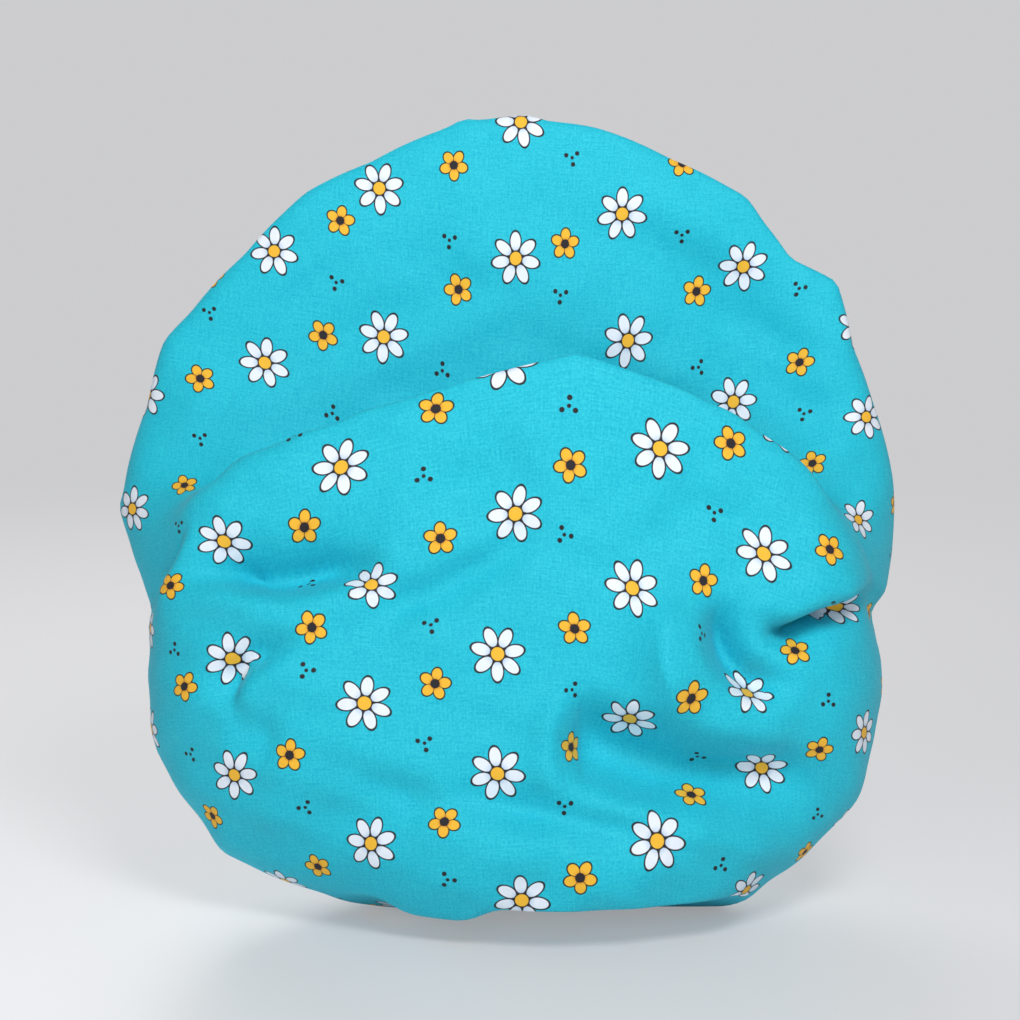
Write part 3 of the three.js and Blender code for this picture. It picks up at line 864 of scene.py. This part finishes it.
edgeTape = {
    "columns": 576,
    "pathPoints": 33,
    # half section in millimetres: radius and height from the cut edge, round the elastic, to the fold
    "section": [(85.9, 0.95), (82, 0.95), (78.6, 1.05), (76.4, 2.5), (73.6, 3), (70.6, 2.2), (69, 0)],
    "thickness": 0.5 * mm,
    "puckers": [(83, 0.10, 0.4), (101, 0.08, 1.9)],  # how many, share of the height, start
    "puckerRadius": (79 * mm, 74 * mm),  # where the puckers set in
    "frill": (67, 0.35 * mm),  # how many, how far the fold moves in and out
    "flatLength": 0.6,
}


def pathNormals(path):
    ahead = np.gradient(path, axis=0)
    side = np.stack([-ahead[:, 1], ahead[:, 0]], -1)
    return side / np.linalg.norm(side, axis=-1, keepdims=True)


def makeEdgeTape():
    # tape folded round the elastic and over the plies' edge, puckered where the elastic draws it in
    t = edgeTape
    half = np.array(t["section"]) * mm
    whole = np.concatenate([half, half[-2::-1] * (1, -1)])
    path = smoothBetween(whole[:, None, :], np.linspace(0, len(whole) - 1, t["pathPoints"]))[:, 0]
    normal = pathNormals(path)
    phi = np.arange(t["columns"]) * fullTurn / t["columns"]
    inward = smoothstep(path[:, 0], *t["puckerRadius"])[:, None]
    pucker = 1 + inward * sum(share * np.cos(count * phi + start) for count, share, start in t["puckers"])
    frill = inward * t["frill"][1] * np.cos(t["frill"][0] * phi)
    skins = []
    for offset in (t["thickness"] / 2, -t["thickness"] / 2):
        radius = (path + normal * offset)[:, :1] + frill
        height = (path + normal * offset)[:, 1:] * pucker + ruffleAt(phi) * ruffleCrest
        ring = np.stack([radius * np.cos(phi), edgeRing["plane"] + height, radius * np.sin(phi)], -1)
        skins.append(ring + np.array([0, 0, edgeRing["height"]]))
    points = np.stack([skins[0], skins[1]])
    count, columns = path.shape[0], t["columns"]
    index = np.arange(2 * count * columns).reshape(2, count, columns)
    after = np.roll(index, -1, 2)
    faces = []
    for side, turned in ((0, 1), (1, -1)):
        a, b = index[side], after[side]
        quads = np.stack([a[:-1], a[1:], b[1:], b[:-1]], -1).reshape(-1, 4)
        faces += quads[:, ::turned].tolist()
    for row, turned in ((0, 1), (count - 1, -1)):
        edge = np.stack([index[0, row], after[0, row], after[1, row], index[1, row]], -1)
        faces += edge[:, ::turned].tolist()
    piece = newMesh("edgeTape", points.reshape(-1, 3), faces)
    lengthwise = np.broadcast_to(phi * half[:, 0].mean(), (count, columns))
    steps = np.linalg.norm(np.diff(path, axis=0), axis=-1)
    crosswise = np.broadcast_to(np.concatenate([[0], np.cumsum(steps)])[:, None], (count, columns))
    bias = np.stack([lengthwise + crosswise, crosswise - lengthwise], -1).reshape(-1, 2) / math.sqrt(2)
    addMap(piece, "clothPattern", np.concatenate([bias, bias]))
    return piece, steps.sum()


stitchRow = {
    "count": 225,
    "radius": 83.9 * mm,
    "length": 1.9 * mm,
    "thread": 0.2 * mm,  # radius
    "taper": 0.06,  # share of a stitch at each end that is cut off its rounding
    "arch": (1.1, 0.6),  # rise and sink, times the thread
    "sides": 8,
    "points": 7,
}


def makeStitchRow(name, side):
    # thread lying on one leg of the tape, dipping in at each end of a stitch
    r = stitchRow
    share = np.linspace(0, 1, r["points"])
    middle = np.arange(r["count"]) * fullTurn / r["count"]
    phi = middle[:, None] + (share - 0.5) * r["length"] / r["radius"]
    rounding = np.sin(math.pi * (r["taper"] + (1 - 2 * r["taper"]) * share))
    thick = r["thread"] * np.sqrt(np.clip(rounding, 0, 1))
    leg = edgeTape["section"][0][1] * mm + edgeTape["thickness"] / 2
    lift = leg + r["thread"] * (r["arch"][0] * np.sin(math.pi * share) - r["arch"][1])
    height = edgeRing["plane"] + ruffleAt(phi) * ruffleCrest + side * lift
    turn = np.arange(r["sides"]) * fullTurn / r["sides"]
    radius = r["radius"] + thick[:, None] * np.cos(turn)
    y = height[..., None] + thick[:, None] * np.sin(turn)
    x = radius * np.cos(phi)[..., None]
    z = radius * np.sin(phi)[..., None] + edgeRing["height"]
    points = np.stack([x, y, z], -1)
    index = np.arange(points[..., 0].size).reshape(points.shape[:3])
    after = np.roll(index, -1, 2)
    quads = np.stack([index[:, :-1], after[:, :-1], after[:, 1:], index[:, 1:]], -1).reshape(-1, 4)
    faces = quads.tolist() + index[:, 0, ::-1].tolist() + index[:, -1].tolist()
    piece = newMesh(name, points.reshape(-1, 3), faces)
    lengthwise = phi[..., None] * r["radius"] + 0 * turn
    places = np.stack([lengthwise, turn * r["thread"] + 0 * phi[..., None]], -1)
    addMap(piece, "clothPattern", places.reshape(-1, 2))
    return piece


blankLabel = {
    "width": 20 * mm, "length": 22 * mm, "thickness": 0.3 * mm, "corner": 2 * mm, "bow": 0.9 * mm,
    "curl": 1.6 * mm, "columns": 40, "rows": 44,
    "seam": 0.25 * mm,  # top edge below the tape's cut edge
}


def makeBlankLabel():
    # a satin tab hanging from its top edge, a little bowed, its lower end curling
    b = blankLabel
    low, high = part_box("care_label")
    lean = math.atan2(high.y - low.y, high.z - low.z)
    down = np.array([0, -math.sin(lean), -math.cos(lean)])
    face = np.array([0, -math.cos(lean), math.sin(lean)])
    top = np.array([0, high.y - b["thickness"] / 2, high.z - b["seam"]])
    u, v = np.meshgrid(np.linspace(-0.5, 0.5, b["columns"]), np.linspace(0, 1, b["rows"]))
    corner = b["corner"] / b["length"]
    drop = np.clip((v - 1 + corner) / corner, 0, 1)
    across = u * (b["width"] - 2 * b["corner"] * (1 - np.sqrt(1 - drop ** 2)))
    out = b["bow"] * np.sin(math.pi * v) * np.cos(math.pi * u) + b["curl"] * v ** 3 * (0.6 + u)
    skins = []
    for side in (0.5, -0.5):
        spot = top + along(down, v * b["length"]) + along(face, out + side * b["thickness"])
        skins.append(spot + along((1, 0, 0), across))
    points = np.stack(skins)
    index = np.arange(points[..., 0].size).reshape(points.shape[:3])
    faces = []
    for side, turned in ((0, 1), (1, -1)):
        a = index[side]
        quads = np.stack([a[:-1, :-1], a[1:, :-1], a[1:, 1:], a[:-1, 1:]], -1).reshape(-1, 4)
        faces += quads[:, ::turned].tolist()
    border = [np.concatenate([a[0, :-1], a[:-1, -1], a[-1, :0:-1], a[:0:-1, 0]]) for a in index]
    ends = [np.roll(line, -1) for line in border]
    faces += np.stack([border[0], ends[0], ends[1], border[1]], -1).tolist()
    piece = newMesh("blankLabel", points.reshape(-1, 3), faces)
    places = np.stack([u * b["width"], v * b["length"]], -1).reshape(-1, 2)
    addMap(piece, "clothPattern", np.concatenate([places, places]))
    return piece


tapeLook = {
    "dye": rgb(44, 186, 208), "dyeDeep": rgb(16, 160, 192), "pitch": 0.42 * mm, "slub": 0.8,
    # yarnShade is painted shade: a factor on the colour that darkens the weave's hollows
    "yarnShade": (0.18, 0.88), "roughness": (-0.1, 0.88), "specular": 0.25, "sheen": 0.12,
    "bump": (0.06 * mm, 0.6),
}


def makeTapeCloth():
    k = tapeLook
    material, tree, shader = newMaterial("bindingTape")
    weave, tone = clothTone(tree, mapPlace(tree), k["pitch"], k["slub"])
    colour = tint(tree, tone, k["dyeDeep"], k["dye"])
    # painted shade: the colour is darkened where the weave is low, in the hollows between yarn crests
    yarn = calc(tree, "MULTIPLY_ADD", weave["Height"], *k["yarnShade"])
    feed(tree, shader.inputs["Base Color"], tint(tree, 1.0, colour, yarn, "MULTIPLY"))
    feed(tree, shader.inputs["Roughness"], calc(tree, "MULTIPLY_ADD", tone, *k["roughness"]))
    shader.inputs["Specular IOR Level"].default_value = k["specular"]
    shader.inputs["Sheen Weight"].default_value = k["sheen"]
    addBump(tree, shader, weave["Height"], *k["bump"])
    return material


threadLook = {
    "dye": rgb(44, 176, 204), "dyeDeep": rgb(12, 138, 172), "twist": 0.35 * mm, "roughness": (-0.15, 0.6),
    "bump": (0.04 * mm, 0.6),
}


def makeThread(name, place):
    # two-ply spun thread: slanting twist across its length
    k = threadLook
    material, tree, shader = newMaterial(name)
    split = addNode(tree, "ShaderNodeSeparateXYZ")
    feed(tree, split.inputs[0], place(tree))
    slant = calc(tree, "ADD", split.outputs[0], split.outputs[1])
    twist = calc(tree, "SINE", calc(tree, "MULTIPLY", slant, fullTurn / k["twist"]))
    tone = calc(tree, "MULTIPLY_ADD", twist, 0.5, 0.5)
    # painted shade: the thread's colour turns to the darker one in the grooves of its twist
    feed(tree, shader.inputs["Base Color"], tint(tree, tone, k["dyeDeep"], k["dye"]))
    feed(tree, shader.inputs["Roughness"], calc(tree, "MULTIPLY_ADD", tone, *k["roughness"]))
    addBump(tree, shader, tone, *k["bump"])
    return material


def objectPlace(tree):
    return addNode(tree, "ShaderNodeTexCoord").outputs["Object"]


elasticLook = {
    "cover": rgb(244, 242, 236), "coverShade": rgb(214, 211, 203), "rib": 0.9 * mm,
    "picks": 620.0,  # times two pi round the ring
    "roughness": (0.12, 0.68), "bump": (0.12 * mm, 0.7),
}


def makeElastic():
    # woven elastic: rubber cores run round the ring, so ribs show across the band's width
    k = elasticLook
    material, tree, shader = newMaterial("wovenElastic")
    split = addNode(tree, "ShaderNodeSeparateXYZ")
    feed(tree, split.inputs[0], objectPlace(tree))
    x = split.outputs[0]
    z = calc(tree, "SUBTRACT", split.outputs[2], edgeRing["height"])
    radius = distance(tree, x, z)
    turn = calc(tree, "ARCTAN2", z, x)
    rib = calc(tree, "SINE", calc(tree, "MULTIPLY", radius, fullTurn / k["rib"]))
    pick = calc(tree, "SINE", calc(tree, "MULTIPLY", turn, k["picks"]))
    height = calc(tree, "MULTIPLY_ADD", calc(tree, "MULTIPLY", rib, pick), 0.5, 0.5)
    # painted shade: the cover's colour turns to the darker one in the troughs between ribs and picks
    feed(tree, shader.inputs["Base Color"], tint(tree, height, k["coverShade"], k["cover"]))
    feed(tree, shader.inputs["Roughness"], calc(tree, "MULTIPLY_ADD", height, *k["roughness"]))
    addBump(tree, shader, height, *k["bump"])
    return material


satinLook = {
    "ribbon": rgb(250, 250, 248), "ribbonShade": rgb(226, 226, 224), "pick": 0.25 * mm,
    "streak": (5000.0, 300.0, 1.0), "selvedge": (8.9 * mm, 9.2 * mm), "selvedgeShade": 0.25,
    "roughness": (0.25, 0.34), "bump": (0.02 * mm, 0.5),
}


def makeSatin():
    k = satinLook
    material, tree, shader = newMaterial("labelSatin")
    split = addNode(tree, "ShaderNodeSeparateXYZ")
    feed(tree, split.inputs[0], mapPlace(tree))
    pick = calc(tree, "SINE", calc(tree, "MULTIPLY", split.outputs[1], fullTurn / k["pick"]))
    streak = addNode(tree, "ShaderNodeTexNoise", noise_dimensions="2D")
    streak.inputs["Scale"].default_value = 1.0
    stretch = addNode(tree, "ShaderNodeVectorMath", operation="MULTIPLY")
    feed(tree, stretch.inputs[0], mapPlace(tree))
    stretch.inputs[1].default_value = k["streak"]
    feed(tree, streak.inputs["Vector"], stretch.outputs[0])
    selvedge = soften(tree, calc(tree, "ABSOLUTE", split.outputs[0]), *k["selvedge"])
    darker = calc(tree, "MULTIPLY", selvedge, k["selvedgeShade"])
    tone = calc(tree, "SUBTRACT", streak.outputs[0], darker, clamp=True)
    feed(tree, shader.inputs["Base Color"], tint(tree, tone, k["ribbonShade"], k["ribbon"]))
    feed(tree, shader.inputs["Roughness"], calc(tree, "MULTIPLY_ADD", selvedge, *k["roughness"]))
    addBump(tree, shader, calc(tree, "MULTIPLY_ADD", pick, 0.5, 0.5), *k["bump"])
    return material


tape, tapeWidth = makeEdgeTape()
tape.data.materials.append(makeTapeCloth())
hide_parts("edge_binding")
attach(tape, "rim")
print("edge tape made, cut width", round(tapeWidth / mm, 1), "mm")

thread = makeThread("sewingThread", mapPlace)
stitchRows = (
    ("needleStitches", "binding_needle_thread", 1),
    ("bobbinStitches", "binding_bobbin_thread", -1),
)
for name, node, side in stitchRows:
    row = makeStitchRow(name, side)
    row.data.materials.append(thread)
    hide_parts(node)
    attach(row, "rim")
print("stitch rows made")

label = makeBlankLabel()
label.data.materials.append(makeSatin())
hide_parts("care_label")
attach(label, "label")
print("label made")

zigzag = makeThread("zigzagThread", objectPlace)
for node, material in (("elastic_band", makeElastic()), ("elastic_join_stitches", zigzag)):
    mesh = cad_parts[node].data
    mesh.materials.clear()
    mesh.materials.append(material)
print("elastic and its join dressed")

studioLight = {
    "softboxes": [  # place, size, power
        ((0.2, -0.74, 0.8), 0.3, 6.6),
        ((-0.5, -1.3, 0.42), 0.5, 4.4),
        ((-0.35, 1.25, 0.95), 1.0, 12.0),
    ],
    "aim": (0, 0, 0.1),
    "world": 0.2,
    "backdrop": 0.62,
    "backdropColour": (0.98, 0.98, 1.0, 1.0),
    "floorColour": rgb(236, 236, 238),
    "floorGlow": 0.7,
    "floorShare": 0.45,  # of that glow in what the camera sees near the cap
    "floorReach": (0.25, 1.3),  # metres over which the floor runs into the backdrop
    "floorHalf": 6.0,
    "floorRoughness": 0.4,
}


def makeFloor():
    s = studioLight
    mesh = bpy.data.meshes.new("floor")
    half = s["floorHalf"]
    corners = [(-half, -half, 0), (half, -half, 0), (half, half, 0), (-half, half, 0)]
    mesh.from_pydata(corners, [], [(0, 1, 2, 3)])
    floor = bpy.data.objects.new("floor", mesh)
    bpy.context.scene.collection.objects.link(floor)
    material, tree, shader = newMaterial("paleFloor")
    shader.inputs["Base Color"].default_value = s["floorColour"]
    shader.inputs["Roughness"].default_value = s["floorRoughness"]
    place = addNode(tree, "ShaderNodeTexCoord").outputs["Object"]
    reach = addNode(tree, "ShaderNodeVectorMath", operation="LENGTH")
    feed(tree, reach.inputs[0], place)
    far = soften(tree, reach.outputs["Value"], *s["floorReach"])
    glow = addNode(tree, "ShaderNodeEmission")
    glow.inputs["Color"].default_value = s["backdropColour"]
    strength = calc(tree, "MULTIPLY_ADD", far, s["backdrop"] - s["floorGlow"], s["floorGlow"])
    feed(tree, glow.inputs["Strength"], strength)
    share = calc(tree, "MULTIPLY_ADD", far, 1 - s["floorShare"], s["floorShare"])
    path = addNode(tree, "ShaderNodeLightPath")
    mix = addNode(tree, "ShaderNodeMixShader")
    feed(tree, mix.inputs[0], calc(tree, "MULTIPLY", share, path.outputs["Is Camera Ray"]))
    feed(tree, mix.inputs[1], shader.outputs[0])
    feed(tree, mix.inputs[2], glow.outputs[0])
    feed(tree, tree.nodes["Material Output"].inputs["Surface"], mix.outputs[0])
    mesh.materials.append(material)


def makeLights():
    s = studioLight
    for place, size, power in s["softboxes"]:
        data = bpy.data.lights.new("softbox", "AREA")
        data.size = size
        data.energy = power
        lamp = bpy.data.objects.new("softbox", data)
        lamp.location = place
        lamp.visible_camera = False
        lamp.rotation_euler = (Vector(s["aim"]) - lamp.location).to_track_quat("-Z", "Y").to_euler()
        bpy.context.scene.collection.objects.link(lamp)
    world = bpy.data.worlds.new("studio")
    world.use_nodes = True
    bpy.context.scene.world = world
    tree = world.node_tree
    back = tree.nodes["Background"]
    back.inputs["Color"].default_value = s["backdropColour"]
    path = addNode(tree, "ShaderNodeLightPath")
    shown = calc(tree, "MAXIMUM", path.outputs["Is Camera Ray"], path.outputs["Is Glossy Ray"])
    strength = calc(tree, "MULTIPLY_ADD", shown, s["backdrop"] - s["world"], s["world"])
    feed(tree, back.inputs["Strength"], strength)


makeFloor()
makeLights()
bpy.context.scene.view_settings.view_transform = "Standard"
